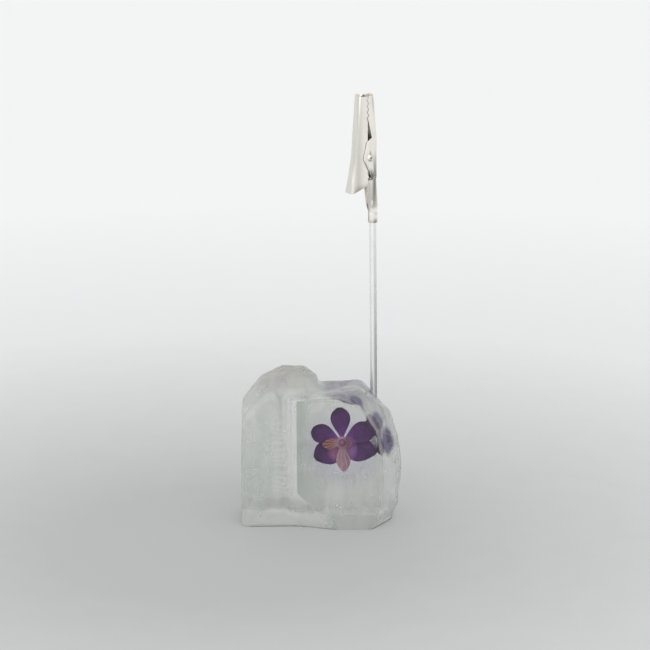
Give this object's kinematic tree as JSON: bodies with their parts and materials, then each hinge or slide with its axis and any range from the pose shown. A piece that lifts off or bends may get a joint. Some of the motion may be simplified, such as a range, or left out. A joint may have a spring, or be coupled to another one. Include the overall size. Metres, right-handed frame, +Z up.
{
  "type": "memo clip",
  "caption": "Clear cast lump with a dried orchid inside, carrying a steel rod and a sprung alligator clip whose lever opens its toothed jaws to hold a card.",
  "frame": {"origin": "middle of the lump's outline, on the flat underside", "axes": "+Z up along the rod, -Y toward the front window, +X to the rod's side"},
  "size_m": [0.047, 0.022, 0.1244],
  "materials": {
    "resin": "clear cast resin, polished front",
    "glue": "cured clear adhesive",
    "rod_steel": "drawn wire",
    "nickel": "nickel plated sheet",
    "rivet_metal": "nickel plated",
    "spring_steel": "spring wire",
    "sepal": "dried petal",
    "petal": "dried petal",
    "lip": "dried petal",
    "column": "dried stalk"
  },
  "bodies": {
    "stand": {"resin_base": "resin", "glue_sleeve": "glue", "rod": "rod_steel", "clip_body": "nickel", "pivot_rivet": "rivet_metal", "torsion_spring": "spring_steel", "dorsal_sepal": "sepal", "left_petal": "petal", "right_petal": "petal", "left_lateral_sepal": "sepal", "right_lateral_sepal": "sepal", "lip": "lip", "column": "column"},
    "lever": {"lever_jaw": "nickel"}
  },
  "joints": [
    {"name": "lever_pivot", "type": "hinge", "parent": "stand", "child": "lever", "pos_m": [0.01362, 0.00372, 0.1062], "axis": [0.4226, -0.9063, 0], "range_deg": [0, 17], "stiffness_Nm_per_rad": 0.004, "springref_deg": -2.86, "deforming": ["torsion_spring"]}
  ]
}
